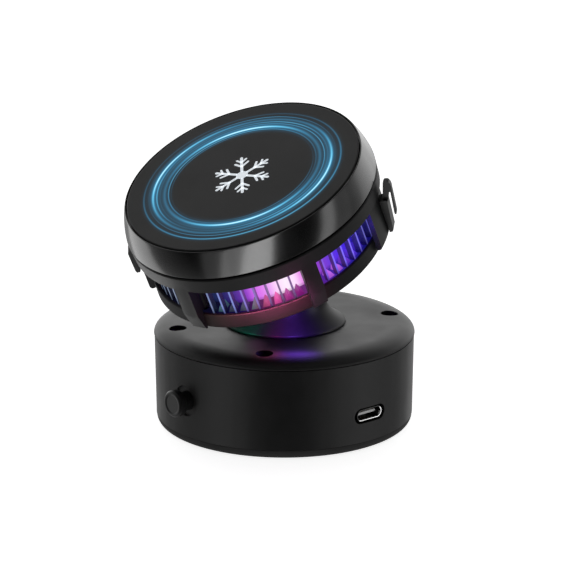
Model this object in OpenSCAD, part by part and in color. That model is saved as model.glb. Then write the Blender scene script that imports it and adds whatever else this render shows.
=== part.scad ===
// Magnetic phone cooler head on a ball-jointed neck and a round suction base.
// Millimetres. Z is up, the origin is the centre of the underside of the base.
// The front (button side, and the way the head leans) is -Y, the inlet side is +X.

/* [Base] */
// Radius of the side wall at its top
base_r = 36; // [35.8:0.1:36.4]
// Radius of the side wall at its foot
base_foot_r = 35.62; // [35.4:0.02:35.9]
// Thickness of the rubber pad that the base stands on
pad_h = 2.7; // [2.5:0.1:3]
// Height of the seam between the wall and the cover
seam_z = 25.4; // [25:0.1:26]
// Height of the flat top of the cover
top_z = 28.5; // [28.3:0.1:29]
// Width of the soft edge of the cover
cover_edge = 6.5; // [5:0.1:8]
// Half the spacing of the cover screws along X
screw_x = 16.5; // [15.5:0.1:17]
// Half the spacing of the cover screws along Y
screw_y = 25.2; // [24.6:0.1:25.4]
// Turn of the button and the inlet from the front and right axes
panel_turn = -5.5; // [-7:0.5:-4]
// Height of the centre of the power button
button_z = 12.9; // [12:0.1:13.5]
// Height of the centre of the charging inlet
port_z = 10.3; // [10.2:0.05:11]

/* [Neck] */
// Height of the centre of the ball
ball_z = 37.9; // [37.7:0.1:38.4]
// Radius of the ball
ball_r = 7; // [6.9:0.05:7]
// Radius of the foot of the neck
neck_foot_r = 17; // [16:0.1:18]

/* [Head] */
// Tilt of the head towards the front
tilt = 25.1; // [5:0.1:32]
// Turn of the two hooks about the axis of the head
hook_turn = 33; // [0:1:60]
// Distance from the centre of the ball to the face
face_h = 39.2; // [39.2:0.1:40]
// Radius of the face plate
face_r = 32.95; // [32.8:0.05:33]
// Largest radius of the bezel ring
bezel_r = 35.6; // [35.4:0.05:35.8]
// Radius of the lower rim of the rear cover
rim_r = 32.9; // [32.6:0.05:32.95]
// Number of heat sink fins
fins = 58; // [50:2:60]
// Number of fan blades
blades = 9; // [7:1:11]

/* [Hidden] */
$fn = 96;
e = 0.01;
wall_in = 33.6;
cover_r = base_r + 0.14;
head_z0 = ball_z;
seam_h = face_h - 7.75;        // lower edge of the bezel
house_top = face_h - 8.3;      // upper edge of the rear housing
rim_h = face_h - 26.16;        // underside of the rear cover
lip_h = face_h - 26.6;         // lower rim of the rear cover
win_lo = face_h - 22.2;         // ledge below the windows
win_hi = face_h - 12.8;         // upper edge of the windows
leg_h = face_h - 26.6;          // lower ends of the legs
leg_r = 35.2;
leg_angles = [61.6, 121.6, 241.6, 304];
legs = [[57.6, 65.6], [117.6, 125.6], [237.6, 245.6], [299, 306.3], [-15.5, 6], [164.5, 195.5]];
floor_h = rim_h + 1.8;          // upper side of the rear cover
crown_h = floor_h + 0.95;       // flange of the light guide
near_leg = 5.2;
fin_turn = -1.53;
hook_angles = [0, 190];
peg_s = [18, 14.8];
function off_leg(a) = min([for (q = leg_angles) abs(a - q)]);

// ---------- placing ----------
module head_place() translate([0, 0, ball_z]) rotate([tilt, 0, 0]) children();
module hook_place() head_place() rotate([0, 0, hook_turn]) children();
module panel() rotate([0, 0, panel_turn]) children();
// radial outward along +z of the children, at the button
module button_place() panel() translate([0, 0, button_z]) rotate([90, 0, 0]) children();
module at_screws() for (x = [-screw_x, screw_x], y = [-screw_y, screw_y]) translate([x, y, 0]) children();
module at_legs(r) for (a = leg_angles) rotate([0, 0, a]) translate([r, 0, 0]) children();
module ring(ro, ri, h) difference() { cylinder(r = ro, h = h); translate([0, 0, -1]) cylinder(r = ri, h = h + 2); }
module slot2d(w, h) union() { square([w - h, h], center = true); for (s = [-1, 1]) translate([s * (w - h) / 2, 0]) circle(d = h); }

// ---------- base ----------
module base_shell() color([0.10, 0.10, 0.10]) difference() {
  union() {
    difference() {
      translate([0, 0, pad_h]) cylinder(r1 = base_foot_r, r2 = base_r, h = seam_z - 0.12 - pad_h);
      translate([0, 0, pad_h + 2]) cylinder(r = wall_in, h = 40);
    }
    at_screws() translate([0, 0, pad_h + 1]) cylinder(r = 2.9, h = 16.9 - 1);
    // guide of the button
    intersection() {
      button_place() translate([0, 0, 32.1]) cylinder(r = 4.6, h = 3);
      cylinder(r = 35, h = 40);
    }
    // rib that carries the spring and the inner end of the button
    panel() translate([-4.5, -25.8, pad_h + 1]) cube([9, 1.2, button_z + 3.5 - pad_h - 1]);
    // board supports
    panel() for (p = [[0, -6], [16, -4], [26, 6]]) translate([p[0], p[1], pad_h + 1]) cylinder(r = 1.6, h = port_z - 1.63 - 1.6 - pad_h - 1);
  }
  at_screws() translate([0, 0, 8]) cylinder(r = 0.95, h = 20);
  // bore, recess and rib hole of the button
  button_place() translate([0, 0, 30]) cylinder(r = 2.72, h = 10);
  button_place() translate([0, 0, 35]) cylinder(r = 4.3, h = 5);
  button_place() translate([0, 0, 20]) cylinder(r = 1.5, h = 8);
  // opening of the inlet
  panel() translate([30, 0, port_z]) rotate([90, 0, 90]) linear_extrude(10) slot2d(10.9, 4.4);
  // air port through the floor
  translate([-9, -14, 0]) cylinder(r = 1.55, h = 10);
}

function cover_arc() = [for (i = [0 : 12]) let (q = 90 * i / 12)
  [cover_r - cover_edge + cover_edge * cos(q), seam_z + 0.3 + (top_z - seam_z - 0.3) * sin(q)]];
module base_cover() color([0.13, 0.13, 0.13]) difference() {
  union() {
    rotate_extrude() polygon(concat([[0, seam_z], [cover_r - 0.25, seam_z]], cover_arc(), [[0, top_z]]));
    translate([0, 0, seam_z - 1.6]) ring(wall_in - 0.1, wall_in - 1.8, 1.8);
    at_screws() translate([0, 0, 19.7]) cylinder(r = 3.3, h = 7);
  }
  translate([0, 0, seam_z - e]) difference() {
    cylinder(r = 31.2, h = 0.9);
    at_screws() translate([0, 0, -1]) cylinder(r = 3.3, h = 3);
  }
  at_screws() translate([0, 0, 21.4]) cylinder(r = 2.45, h = 12);
  at_screws() translate([0, 0, 15]) cylinder(r = 1.15, h = 12);
  for (a = [90, 210, 330]) rotate([0, 0, a]) translate([13.4, 0, 20]) cylinder(r = 1.1, h = 12);
  translate([0, 0, 20]) cylinder(r = 2, h = 12);
}

module screw(head_r, head_h, shank_r, len) difference() {
  union() {
    translate([0, 0, -head_h]) cylinder(r = head_r, h = head_h);
    translate([0, 0, -head_h - len]) cylinder(r = shank_r, h = len + 0.1);
  }
  for (a = [0, 90]) rotate([0, 0, a]) translate([-head_r * 0.62, -0.22, -0.55]) cube([head_r * 1.24, 0.44, 1]);
}
module cover_screws() color([0.22, 0.22, 0.23]) at_screws() translate([0, 0, 22.8]) screw(2.1, 1.4, 0.9, 9);

module suction_pad() color([0.16, 0.16, 0.16]) difference() {
  rotate_extrude() polygon(concat([[0, 0], [base_foot_r - 2.6, 0]],
    [for (i = [1 : 8]) let (q = -90 + 90 * i / 8) [base_foot_r - 2.6 + 2.5 * cos(q), 2.4 + 2.4 * sin(q)]],
    [[base_foot_r - 0.1, pad_h], [0, pad_h]]));
  translate([0, 0, -1]) cylinder(r = 27.5, h = 2.6);
  // grooves between the sealing lips
  for (r = [28.6, 30.6]) translate([0, 0, -1]) ring(r + 1.2, r, 1.7);
  translate([-9, -14, 0]) cylinder(r = 2, h = 10);
}
module pad_clamp_ring() color([0.5, 0.5, 0.52]) difference() {
  translate([0, 0, 0.7]) ring(26.5, 20.5, 0.88);
  for (a = [45 : 90 : 315]) rotate([0, 0, a]) translate([23.5, 0, 0]) cylinder(r = 1.1, h = 5);
}

// pump along Y
pump_x = -19.5; pump_z = 13.2;
module pump_axis() translate([pump_x, 0, pump_z]) rotate([-90, 0, 0]) children();
module pump_motor() color([0.62, 0.62, 0.64]) pump_axis() difference() {
  union() {
    translate([0, 0, -8]) cylinder(r = 6.5, h = 14.5);
    translate([0, 0, 6.5]) cylinder(r = 2.6, h = 1.2);
  }
  translate([0, 0, -9]) cylinder(r = 1.05, h = 15.3);
}
module pump_head() color([0.85, 0.85, 0.83]) difference() {
  translate([pump_x - 6.4, -20, 5.6]) cube([12.8, 11.8, 13.8]);
  pump_axis() translate([0, 0, -19]) cylinder(r = 5.2, h = 12);
  translate([pump_x + 3, -14, 12]) rotate([0, 90, 0]) cylinder(r = 0.8, h = 6);
}
module pump_diaphragm() color([0.35, 0.35, 0.36]) translate([pump_x, -14, 19.4]) rotate_extrude()
  polygon([[0, 0], [5.4, 0], [5.4, 1.1], [3.8, 1.1], [3.2, 2.2], [1.6, 2.2], [1.2, 1.5], [0, 1.5]]);
module pump_shaft() color([0.75, 0.75, 0.77]) pump_axis() union() {
  translate([0, 0, -17]) cylinder(r = 1, h = 22);
  translate([0.8, 0, -16]) cylinder(r = 3.2, h = 4.5);
  translate([0, 0, -11.6]) cylinder(r = 1.8, h = 1.6);
}
hose_r = 1.5; bore_r = 0.9; bend = 3;
module hose_section() difference() { circle(r = hose_r); circle(r = bore_r); }
module air_hose() color([0.82, 0.82, 0.80]) union() {
  translate([pump_x + 6.4, -14, 12]) rotate([0, 90, 0]) linear_extrude(-9 - bend - pump_x - 6.4) hose_section();
  translate([-9 - bend, -14, 12 - bend]) rotate([90, 0, 0]) rotate_extrude(angle = 90) translate([bend, 0]) hose_section();
  translate([-9, -14, pad_h + 1]) linear_extrude(12 - bend - pad_h - 1) hose_section();
}

module battery() color([0.24, 0.34, 0.48]) translate([-12.5, 8, 5.4]) union() {
  difference() {
    cube([25, 21, 10]);
    for (x = [0, 25], z = [0, 10]) translate([x, -1, z]) rotate([-90, 0, 0]) rotate([0, 0, 45]) cube([2, 2, 60], center = true);
  }
  translate([7, -1.6, 3.6]) cube([11, 1.6, 2.8]);
}

board_z = port_z - 1.63 - 1.6;
module control_board() color([0.05, 0.28, 0.14]) panel() difference() {
  union() {
    translate([0, 0, board_z]) linear_extrude(1.6) polygon([[-4.5, -19], [5, -19], [11, -15], [21, -9.5],
      [31, -9.5], [31, 9.5], [14.5, 9.5], [6.5, 2], [-4.5, 2]]);
    translate([9, -8, board_z + 1.6]) cube([7, 7, 1]);
    translate([17.5, 2, board_z + 1.6]) cube([4.4, 5, 1.8]);
    translate([21, -7, board_z + 1.6]) cylinder(r = 2, h = 4);
    translate([-2.5, -4, board_z + 1.6]) cube([5, 4, 2.4]);
  }
  for (p = [[0, -6], [16, -4], [26, 6]]) translate([p[0], p[1], board_z - 1]) cylinder(r = 0.8, h = 1.6);
}
module usb_c_shell() color([0.78, 0.78, 0.80]) panel() translate([27.9, 0, port_z]) rotate([90, 0, 90]) difference() {
  linear_extrude(7.3) slot2d(8.94, 3.26);
  translate([0, 0, 0.5]) linear_extrude(10) slot2d(8.34, 2.66);
}
module usb_c_tongue() color([0.08, 0.08, 0.08]) panel() translate([28.4, 0, port_z]) union() {
  translate([0, -3.35, -0.35]) cube([5.4, 6.7, 0.7]);
  translate([0, -3.6, -0.9]) cube([1.4, 7.2, 1.8]);
}
module tact_switch() color([0.30, 0.30, 0.31]) panel() union() {
  translate([-3, -18.7, board_z + 1.6]) cube([6, 3.5, 5.6]);
  translate([0, 0, button_z]) rotate([90, 0, 0]) translate([0, 0, 18]) cylinder(r = 1.2, h = 2.2);
}
module power_button() color([0.12, 0.12, 0.12]) button_place() rotate_extrude()
  polygon([[0, 22.4], [1.25, 22.4], [1.45, 22.7], [1.45, 31], [3.6, 31], [3.6, 32], [2.65, 32], [2.65, 38],
    [3.5, 38], [3.75, 38.25], [3.75, 39.9], [3.25, 40.4], [2.75, 40.4], [2.5, 40.25], [0, 40.25]]);

function coil_pt(t, turns, z0, z1, r) = [r * cos(360 * turns * t), r * sin(360 * turns * t), z0 + (z1 - z0) * t];
module coil(r, wire, z0, z1, turns, steps, sides) {
  pts = [for (i = [0 : steps]) let (t = i / steps, a = 360 * turns * t, c = coil_pt(t, turns, z0, z1, r))
    for (j = [0 : sides - 1]) let (b = 360 * j / sides)
      [c[0] + wire * cos(b) * cos(a), c[1] + wire * cos(b) * sin(a), c[2] + wire * sin(b)]];
  side = [for (i = [0 : steps - 1], j = [0 : sides - 1]) let (k = (j + 1) % sides)
    [i * sides + j, (i + 1) * sides + j, (i + 1) * sides + k, i * sides + k]];
  polyhedron(points = pts, faces = concat([[for (j = [0 : sides - 1]) j]], side,
    [[for (j = [sides - 1 : -1 : 0]) steps * sides + j]]), convexity = 10);
}
module button_spring() color([0.70, 0.70, 0.72]) button_place() coil(2.3, 0.3, 26.15, 30.65, 4, 48, 8);

// ---------- neck ----------
function flare() = [for (i = [0 : 12]) let (t = i / 12) [11.6 + (neck_foot_r - 0.5 - 11.6) * pow(1 - t, 2.3), top_z + 0.75 + 6.2 * t]];
module neck_post() color([0.12, 0.12, 0.12]) difference() {
  rotate_extrude() polygon(concat([[0, top_z], [neck_foot_r, top_z], [neck_foot_r, top_z + 0.45], [neck_foot_r - 0.2, top_z + 0.7]],
    flare(), [[11.2, ball_z + 1], [11.2, ball_z + 2.7], [0, ball_z + 2.7]]));
  translate([0, 0, ball_z - ball_r - 0.7]) cylinder(r = 9, h = 20);
  translate([0, 0, 20]) cylinder(r = 2, h = 20);
  for (a = [90, 210, 330]) rotate([0, 0, a]) translate([13.4, 0, 25]) cylinder(r = 0.95, h = 5.4);
}
module neck_screws() color([0.55, 0.55, 0.57]) for (a = [90, 210, 330]) rotate([0, 0, a])
  translate([13.4, 0, seam_z + 0.88]) rotate([180, 0, 0]) translate([0, 0, 1.2]) screw(2, 1.2, 0.9, 3.6);
module socket_collar() color([0.14, 0.14, 0.14]) translate([0, 0, ball_z + 2.72]) difference() {
  rotate_extrude() polygon([[8.3, 0], [11.2, 0], [11.2, 0.9], [10.7, 1.35], [8.6, 1.35], [8.3, 1.05]]);
  for (a = [0 : 30 : 330]) rotate([0, 0, a]) translate([11.75, 0, -1]) cylinder(r = 0.85, h = 4);
}
module socket_liner() color([0.85, 0.85, 0.82]) translate([0, 0, ball_z]) difference() {
  translate([0, 0, -ball_r - 0.6]) cylinder(r = 8.9, h = ball_r + 0.6 + 2.6);
  sphere(r = ball_r + 0.05);
  translate([0, 0, -20]) cylinder(r = 2, h = 20);
}
module ball_stud() color([0.60, 0.60, 0.62]) head_place() difference() {
  union() {
    sphere(r = ball_r);
    cylinder(r = 3, h = 12);
    translate([0, 0, 10.8]) cylinder(r = 6.3, h = 2.1);
    translate([0, 0, 12]) cylinder(r = 4, h = 3.6);
    translate([0, 0, 15]) cylinder(r = 3, h = 1.75);
  }
  translate([0, 0, -20]) cylinder(r = 1.2, h = 60);
}
module stud_clip() color([0.40, 0.40, 0.42]) head_place() translate([0, 0, 15.6]) difference() {
  ring(6.2, 3.02, 0.9);
  translate([0, -1.6, -1]) cube([10, 3.2, 4]);
}

// ---------- head ----------
module face_plate() color([0.10, 0.10, 0.11]) head_place() translate([0, 0, face_h]) rotate_extrude()
  polygon([[0, -1.5], [face_r, -1.5], [face_r, -0.35], [face_r - 0.12, -0.12], [face_r - 0.4, 0], [0, 0]]);
function bezel_side() = [for (i = [0 : 10]) let (t = i / 10)
  [33.62 + (bezel_r - 33.62) * (t + 0.55 * t * (1 - t)), face_h - 0.32 - (face_h - 0.32 - seam_h - 0.3) * t]];
module bezel_ring() color([0.07, 0.07, 0.07]) head_place() rotate_extrude()
  polygon(concat([[33.32, face_h - 0.18], [33.5, face_h - 0.18]], bezel_side(),
    [[bezel_r - 0.3, seam_h], [33, seam_h], [33, face_h - 2.9], [31.3, face_h - 2.9], [31.3, face_h - 1.55], [33.32, face_h - 1.55]]));
module magnet_ring() color([0.70, 0.70, 0.72]) head_place() translate([0, 0, face_h - 3.6])
  for (i = [0 : 17]) rotate([0, 0, 20 * i]) rotate_extrude(angle = 17.5) translate([23.5, 0]) square([4, 1.7]);
module charging_coil() color([0.72, 0.42, 0.22]) head_place() translate([0, 0, face_h - 3]) rotate_extrude()
  polygon(concat([[9.5, 0], [20.5, 0]], [for (i = [0 : 10]) for (p = [[20.5 - i, 0.9], [19.8 - i, 0.9], [19.8 - i, 0.45], [19.5 - i, 0.45]])
    if (p[0] >= 9.5) p], [[9.5, 0.45]]));
module ferrite_sheet() color([0.20, 0.20, 0.21]) head_place() translate([0, 0, face_h - 3.6]) cylinder(r = 21.5, h = 0.6);
module cold_plate() color([0.78, 0.79, 0.80]) head_place() translate([0, 0, face_h - 5.4]) cylinder(r = 31, h = 1.8);
module cooling_module() color([0.92, 0.92, 0.90]) head_place() translate([0, 0, face_h - 8.8]) union() {
  translate([-15, -15, 0]) cube([30, 30, 0.8]);
  translate([-15, -15, 2.6]) cube([30, 30, 0.8]);
  for (x = [-12 : 6 : 12], y = [-12 : 6 : 12]) translate([x - 1, y - 1, 0.4]) cube([2, 2, 2.6]);
}
module foam_frame() color([0.25, 0.25, 0.26]) head_place() translate([0, 0, face_h - 8.7]) difference() {
  cylinder(r = 24, h = 3.2);
  translate([-15.3, -15.3, -1]) cube([30.6, 30.6, 6]);
}
module driver_board() color([0.05, 0.25, 0.14]) hook_place() translate([0, 0, face_h - 7.6]) union() {
  rotate([0, 0, 40]) rotate_extrude(angle = 100) translate([25, 0]) square([5.5, 1.2]);
  for (a = [55 : 22 : 125]) rotate([0, 0, a]) translate([26, -1.5, 1.1]) cube([3.4, 3, 0.9]);
}
fin_lo = crown_h + 0.4;
module heat_sink() color([0.72, 0.74, 0.78]) hook_place() union() {
  translate([0, 0, face_h - 11]) cylinder(r = 31, h = 2.2);
  for (i = [0 : fins - 1]) let (a = 360 * (i + 0.5) / fins + fin_turn) if (off_leg(a) > near_leg) rotate([0, 0, a]) {
    translate([29.5, -0.23, fin_lo]) cube([1.9, 0.46, face_h - 10.5 - fin_lo]);
    translate([22.3, -0.23, win_hi - 1.8]) cube([9.1, 0.46, face_h - 10.5 - win_hi + 1.8]);
  }
}
module led_board() color([0.12, 0.12, 0.13]) hook_place() translate([0, 0, floor_h]) difference() {
  ring(30.6, 22.6, 0.8);
  at_legs(29.2) translate([0, 0, -1]) cylinder(r = 0.95, h = 4);
}
module led_lenses() color([0.95, 0.95, 1.0]) hook_place() translate([0, 0, floor_h + 0.8])
  for (i = [0 : 11]) rotate([0, 0, 30 * i]) translate([23.75, 0, 0]) rotate_extrude()
    polygon([[0, 0], [1, 0], [1, 0.35], [0.88, 0.58], [0.55, 0.74], [0, 0.78]]);
// ring that spreads the light, with a crown of small prisms between the fins
module light_guide() color([0.80, 0.78, 0.90]) hook_place() difference() {
  union() {
    translate([0, 0, floor_h + 0.82]) ring(25.9, 24.9, 6.4);
    translate([0, 0, crown_h]) ring(31.2, 25.2, 0.3);
    for (i = [0 : fins - 1]) let (a = 360 * i / fins + fin_turn) if (off_leg(a) > near_leg + 0.6)
      rotate([0, 0, a]) translate([27, 0, crown_h + 0.2]) rotate([90, 0, 90]) linear_extrude(3.2) polygon([[-1.05, 0], [1.05, 0], [0.1, 1.9], [-0.1, 1.9]]);
  }
  at_legs(29.2) cylinder(r = 0.95, h = 40);
}
module fan_mount() color([0.16, 0.16, 0.16]) hook_place() difference() {
  union() {
    translate([0, 0, 17.5]) cylinder(r = 9.5, h = 1.2);
    translate([0, 0, 17.5]) cylinder(r = 3.2, h = 8);
    for (a = [30, 150, 270]) rotate([0, 0, a]) {
      translate([8, -1.6, 17.5]) cube([12.6, 3.2, 1.2]);
      translate([20.6, 0, rim_h + 1.76]) cylinder(r = 1.9, h = 18.7 - rim_h - 1.76);
    }
  }
  translate([0, 0, 18]) cylinder(r = 1.65, h = 20);
}
module fan_bearing() color([0.72, 0.58, 0.30]) hook_place() translate([0, 0, 18.05]) difference() {
  cylinder(r = 1.62, h = 7.3);
  translate([0, 0, -1]) cylinder(r = 0.79, h = 20);
}
module fan_stator() color([0.66, 0.40, 0.22]) hook_place() translate([0, 0, 19.6]) difference() {
  union() {
    cylinder(r = 4.3, h = 4.2);
    for (a = [0 : 60 : 300]) rotate([0, 0, a]) {
      translate([3.5, -1.2, 0.6]) cube([2.6, 2.4, 3]);
      intersection() { ring(6.35, 5.4, 4.2); translate([4, -2.2, 0]) cube([4, 4.4, 4.2]); }
    }
  }
  translate([0, 0, -1]) cylinder(r = 3.22, h = 20);
}
module fan_shaft() color([0.80, 0.80, 0.82]) hook_place() translate([0, 0, 18.5]) cylinder(r = 0.75, h = 8.1);
module fan_rotor() color([0.15, 0.15, 0.16]) hook_place() difference() {
  union() {
    translate([0, 0, 19.4]) rotate_extrude() polygon([[0, 6.5], [7.6, 6.5], [7.6, 0], [8.4, 0], [8.4, 7], [7.9, 7.5], [0, 7.5]]);
    intersection() {
      translate([0, 0, 19.4]) ring(21.2, 8, 7.2);
      for (i = [0 : blades - 1]) rotate([0, 0, 360 * i / blades]) translate([7.8, 0, 23]) rotate([48, 0, 0])
        translate([0, -6.5, -0.45]) cube([15, 13, 0.9]);
    }
  }
  translate([0, 0, 20]) cylinder(r = 0.76, h = 6.6);
}
module rotor_magnet() color([0.28, 0.28, 0.30]) hook_place() translate([0, 0, 19.9]) ring(7.56, 6.75, 4.6);

// upper band with six legs that reach down over the rim of the rear cover
module leg(a0, a1, r_in, ro) rotate([0, 0, a0]) rotate_extrude(angle = a1 - a0)
  polygon([[r_in, win_lo + 0.1], [33.05, win_lo + 0.1], [33.05, leg_h + 0.2], [33.2, leg_h], [33.5, leg_h], [33.85, leg_h + 0.35], [ro, win_lo + 1], [ro, win_hi + 0.25], [r_in, win_hi + 0.25]]);
module wide_leg(a0, a1, ro) rotate([0, 0, a0]) rotate_extrude(angle = a1 - a0)
  polygon([[33.05, leg_h + 1.1], [33.2, leg_h + 0.9], [ro - 0.7, leg_h + 0.9], [ro - 0.25, leg_h + 1.15], [ro, leg_h + 1.8], [ro, win_hi + 0.25], [33.05, win_hi + 0.25]]);
module rear_housing() color([0.12, 0.12, 0.12]) hook_place() difference() {
  union() {
    rotate_extrude() polygon([[33, win_hi], [leg_r - 0.2, win_hi], [leg_r, win_hi + 0.2], [leg_r + 0.3, house_top - 0.3], [leg_r + 0.05, house_top],
      [32.85, house_top], [32.85, house_top + 1.2], [31.9, house_top + 1.2], [31.9, house_top - 1.3], [33, house_top - 2.8]]);
    for (i = [0 : 3]) leg(legs[i][0], legs[i][1], 32.6, leg_r);
    for (i = [4, 5]) wide_leg(legs[i][0], legs[i][1], leg_r - 0.6);
    // ribs behind the narrow legs take the screws
    for (a = leg_angles) rotate([0, 0, a]) {
      translate([0, 0, win_lo + 0.1]) linear_extrude(win_hi - win_lo + 0.1) polygon([[27.6, -0.8], [33.2, -1.2], [33.2, 1.2], [27.6, 0.8]]);
      translate([29.2, 0, win_lo + 0.1]) cylinder(r = 1.45, h = 5);
    }
  }
  at_legs(29.2) translate([0, 0, rim_h]) cylinder(r = 0.85, h = 9);
  // peg holes of the hooks
  for (i = [0, 1]) rotate([0, 0, hook_angles[i]]) translate([30, 0, face_h - peg_s[i]]) rotate([0, 90, 0]) cylinder(r = 1.6, h = 10);
}
module rear_cover() color([0.14, 0.14, 0.14]) hook_place() difference() {
  union() {
    rotate_extrude() polygon([[0, rim_h + 0.16], [30.6, rim_h + 0.16], [30.6, lip_h], [rim_r - 0.37, lip_h], [rim_r, lip_h + 0.36], [rim_r - 0.1, win_lo - 0.2],
      [rim_r - 0.25, win_lo], [31.9, win_lo], [31.65, rim_h + 1.76], [0, rim_h + 1.76]]);
    translate([0, 0, rim_h - 0.04]) cylinder(r = 9.5, h = 2.4);
    at_legs(29.2) translate([0, 0, rim_h - 1.5]) rotate_extrude() polygon([[0, 0], [2.3, 0], [2.8, 0.5], [2.8, 1.8], [0, 1.8]]);
  }
  cylinder(r = 4.05, h = 40);
  for (i = [0 : 23]) if (i % 8 != 2) rotate([0, 0, 15 * i]) {
    translate([13, -0.8, rim_h - 5]) cube([9.5, 1.6, 12]);
    for (x = [13, 22.5]) translate([x, 0, rim_h - 5]) cylinder(r = 0.8, h = 12);
  }
  at_legs(29.2) translate([0, 0, rim_h - 5]) cylinder(r = 1.05, h = 12);
  at_legs(29.2) translate([0, 0, rim_h - 5]) cylinder(r = 1.75, h = 5);
}
module rear_screws() color([0.55, 0.55, 0.57]) hook_place() at_legs(29.2)
  translate([0, 0, rim_h - 1.2]) rotate([180, 0, 0]) screw(1.6, 1.2, 0.8, 6.4);

// hook clip: a block on the wide leg, a narrow post and a blade that hangs outside it
function hk(r, s) = [r, face_h - s];
module hook_peg(s) translate([31.8, 0, face_h - s]) rotate([0, 90, 0]) cylinder(r = 1.5, h = 3.8);
module hook_right() color([0.09, 0.09, 0.09]) hook_place() rotate([0, 0, hook_angles[0]]) {
  rotate([90, 0, 0]) translate([0, 0, -1.8]) linear_extrude(3.6)
    polygon([hk(34.65, 15), hk(36.5, 15), hk(36.8, 15.4), hk(35.9, 24.8), hk(35.5, 25.4), hk(34.68, 25.4)]);
  hook_peg(peg_s[0]);
  rotate([90, 0, 0]) translate([0, 0, -0.8]) linear_extrude(1.6)
    polygon([hk(35.5, 17), hk(36.6, 17), hk(36.9, 15.6), hk(37.3, 14.6), hk(37.75, 13.5), hk(37.92, 13.15), hk(38.1, 13.1), hk(38.2, 13.4), hk(37.4, 20),
      hk(37.46, 20.5), hk(37.68, 20.65), hk(37.9, 20.5), hk(38.06, 20), hk(38.97, 11.2), hk(38.9, 10.5), hk(38.65, 9.85), hk(38.2, 9.5),
      hk(37.35, 9.5), hk(36.98, 10), hk(35.5, 15.2)]);
}
// the other clip is a plain catch with a short blade
module hook_left() color([0.09, 0.09, 0.09]) hook_place() rotate([0, 0, hook_angles[1]]) {
  rotate([90, 0, 0]) translate([0, 0, -1.8]) linear_extrude(3.6)
    polygon([hk(34.65, 13.2), hk(36.5, 12.9), hk(36.9, 13.2), hk(37, 13.8), hk(36.85, 19.6), hk(36.6, 20.3), hk(35.7, 20.4), hk(35.4, 19.9), hk(35.55, 16.7), hk(34.65, 16.5)]);
  hook_peg(peg_s[1]);
}

base_shell();
base_cover();
cover_screws();
suction_pad();
pad_clamp_ring();
pump_motor();
pump_head();
pump_diaphragm();
pump_shaft();
air_hose();
battery();
control_board();
usb_c_shell();
usb_c_tongue();
tact_switch();
power_button();
button_spring();
neck_post();
neck_screws();
socket_collar();
socket_liner();
ball_stud();
stud_clip();
face_plate();
bezel_ring();
magnet_ring();
charging_coil();
ferrite_sheet();
cold_plate();
cooling_module();
foam_frame();
driver_board();
heat_sink();
led_board();
led_lenses();
light_guide();
fan_mount();
fan_bearing();
fan_stator();
fan_shaft();
fan_rotor();
rotor_magnet();
rear_housing();
rear_cover();
rear_screws();
hook_right();
hook_left();
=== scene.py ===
"""Looks of the magnetic phone cooler: finishes, lit rings and fins, small printed and plated details, studio and camera."""
import math

import bmesh
import bpy
from mathutils import Matrix, Vector


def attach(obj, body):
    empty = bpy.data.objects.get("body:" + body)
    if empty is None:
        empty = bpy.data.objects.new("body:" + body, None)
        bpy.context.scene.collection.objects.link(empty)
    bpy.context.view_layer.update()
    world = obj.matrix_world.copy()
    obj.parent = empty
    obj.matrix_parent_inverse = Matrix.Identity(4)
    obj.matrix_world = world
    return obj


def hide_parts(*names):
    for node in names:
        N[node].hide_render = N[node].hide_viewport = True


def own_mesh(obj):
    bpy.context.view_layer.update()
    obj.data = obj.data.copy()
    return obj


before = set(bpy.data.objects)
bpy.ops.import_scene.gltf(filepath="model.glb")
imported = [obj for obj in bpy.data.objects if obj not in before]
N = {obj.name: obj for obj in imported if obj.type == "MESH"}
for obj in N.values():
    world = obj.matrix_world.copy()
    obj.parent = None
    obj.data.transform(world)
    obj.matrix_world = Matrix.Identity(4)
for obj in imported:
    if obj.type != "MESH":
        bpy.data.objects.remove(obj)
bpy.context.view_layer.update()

MM = 0.001
TILT = math.radians(25.1)
HOOK_TURN = math.radians(33.0)
PANEL_TURN = math.radians(-5.5)
BALL_Z = 37.9 * MM
FACE_H = 39.2
HEAD = Matrix.Translation((0, 0, BALL_Z)) @ Matrix.Rotation(TILT, 4, "X")
HOOK = HEAD @ Matrix.Rotation(HOOK_TURN, 4, "Z")
PANEL = Matrix.Rotation(PANEL_TURN, 4, "Z")
scene = bpy.context.scene


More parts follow.
